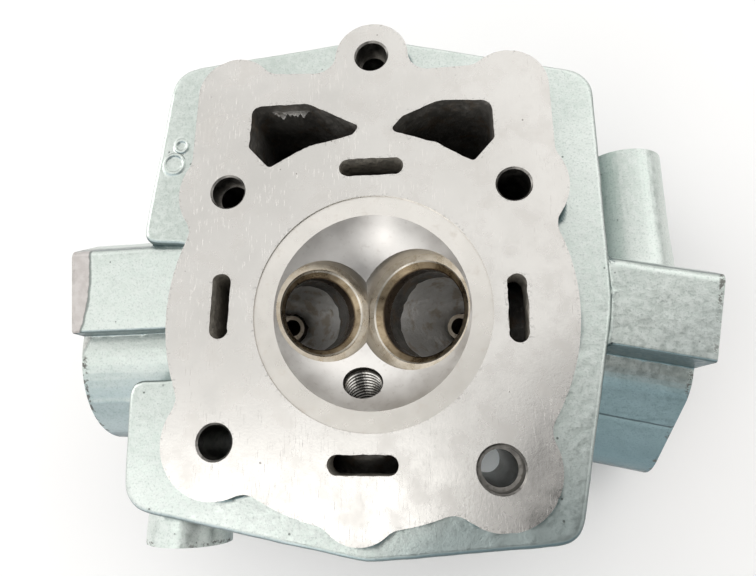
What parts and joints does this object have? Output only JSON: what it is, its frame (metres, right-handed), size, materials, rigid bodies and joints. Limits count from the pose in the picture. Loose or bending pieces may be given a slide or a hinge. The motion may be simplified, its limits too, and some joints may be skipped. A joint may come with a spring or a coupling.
{
  "type": "cylinder head",
  "caption": "Bare liquid-cooled pushrod engine cylinder head with hemispherical chamber, pressed-in valve seats and guides, side ports and a coolant neck.",
  "frame": {"origin": "centre of the fire-ring register at the deck, on the cylinder's bore axis", "axes": "+Z out of the deck towards the cylinder, +X towards the inlet flange, +Y towards the pushrod windows"},
  "size_m": [0.1923, 0.1551, 0.084],
  "materials": {
    "cast_alloy": "cast, green-silver paint outside, machined deck, chamber and flange faces",
    "seat_alloy": "ground sintered alloy, bronze tint",
    "guide_iron": "reamed",
    "spring_steel": "plain",
    "seal_rubber": "moulded"
  },
  "bodies": {
    "root": {"head_casting": "cast_alloy", "exhaust_valve_seat": "seat_alloy", "intake_valve_seat": "seat_alloy", "exhaust_valve_guide": "guide_iron", "intake_valve_guide": "guide_iron", "exhaust_guide_clip": "spring_steel", "intake_guide_clip": "spring_steel", "exhaust_guide_o_ring": "seal_rubber", "intake_guide_o_ring": "seal_rubber"}
  },
  "joints": []
}
